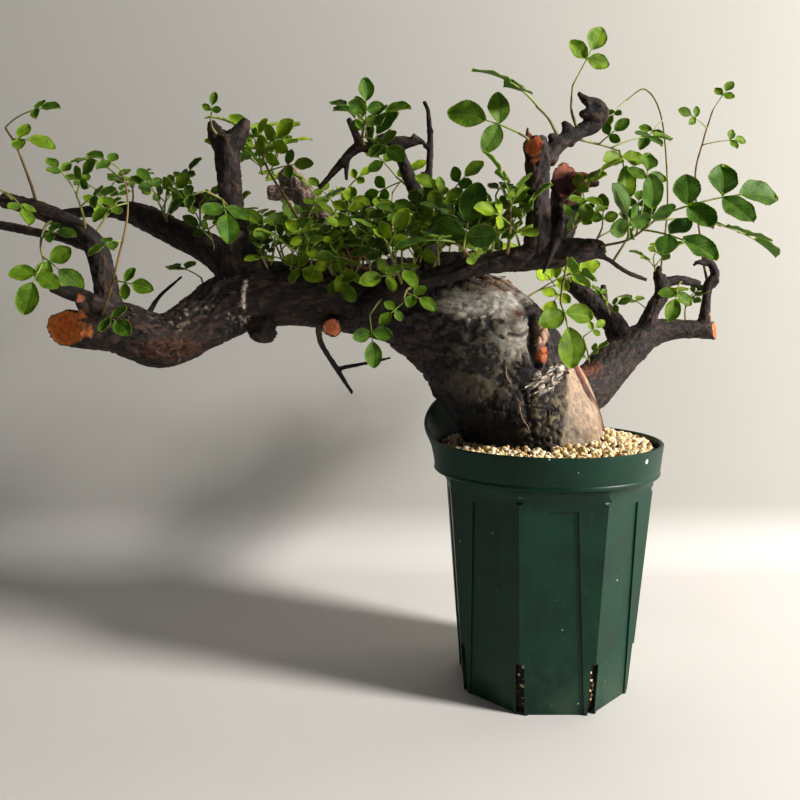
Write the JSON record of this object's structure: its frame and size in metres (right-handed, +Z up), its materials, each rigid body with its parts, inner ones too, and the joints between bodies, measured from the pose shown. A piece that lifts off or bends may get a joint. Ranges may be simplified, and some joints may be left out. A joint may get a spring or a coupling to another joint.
{
  "type": "potted commiphora bonsai",
  "caption": "Fat-trunked bonsai tree with one long bent limb, pruned stubs and small leaves in threes, standing in gravel in a tall eight-sided plastic nursery pot.",
  "frame": {"origin": "centre of the pot's underside, on the surface it stands on", "axes": "+Z up; -Y towards the side the tree is seen from, square to one flat side of the pot; +X to the right, so the long limb reaches towards -X"},
  "size_m": [0.4318, 0.2121, 0.3464],
  "materials": {
    "pot_plastic": "dark green moulded plastic, satin, scuffed and dusty",
    "gravel": "fine tan and cream grit, dry",
    "bark": "grey olive bark, peeling in pale and orange strips, black and rough low down, orange pruning cuts",
    "leaf": "fresh green leaf, satin, with pale veins and stalks"
  },
  "bodies": {
    "root": {"gravel": "gravel", "pot": "pot_plastic", "shoot_arching_shoot": "leaf", "shoot_back_knob": "leaf", "shoot_back_upright": "leaf", "shoot_central_back": "leaf", "shoot_central_crown": "leaf", "shoot_central_right": "leaf", "shoot_far_left": "leaf", "shoot_far_right_shoot": "leaf", "shoot_front_fork": "leaf", "shoot_front_hanging": "leaf", "shoot_front_hanging_small": "leaf", "shoot_front_left_leaves": "leaf", "shoot_front_mid_leaves": "leaf", "shoot_front_tip": "leaf", "shoot_hook_leaf": "leaf", "shoot_hook_left_leaf": "leaf", "shoot_hook_right": "leaf", "shoot_left_crown": "leaf", "shoot_left_edge": "leaf", "shoot_left_hanging": "leaf", "shoot_left_twig": "leaf", "shoot_limb_back_end": "leaf", "shoot_limb_back_fork": "leaf", "shoot_limb_rear": "leaf", "shoot_limb_top_left": "leaf", "shoot_limb_top_mid": "leaf", "shoot_long_shoot": "leaf", "shoot_mast_front": "leaf", "shoot_mast_top": "leaf", "shoot_rear_knob_back": "leaf", "shoot_right_back_leaf": "leaf", "shoot_right_limb_rear": "leaf", "shoot_right_shoot": "leaf", "shoot_stub_leaf": "leaf", "shoot_stub_right": "leaf", "shoot_trunk_crown": "leaf", "shoot_trunk_hanging": "leaf", "shoot_trunk_rear": "leaf", "trunk": "bark"}
  },
  "joints": []
}
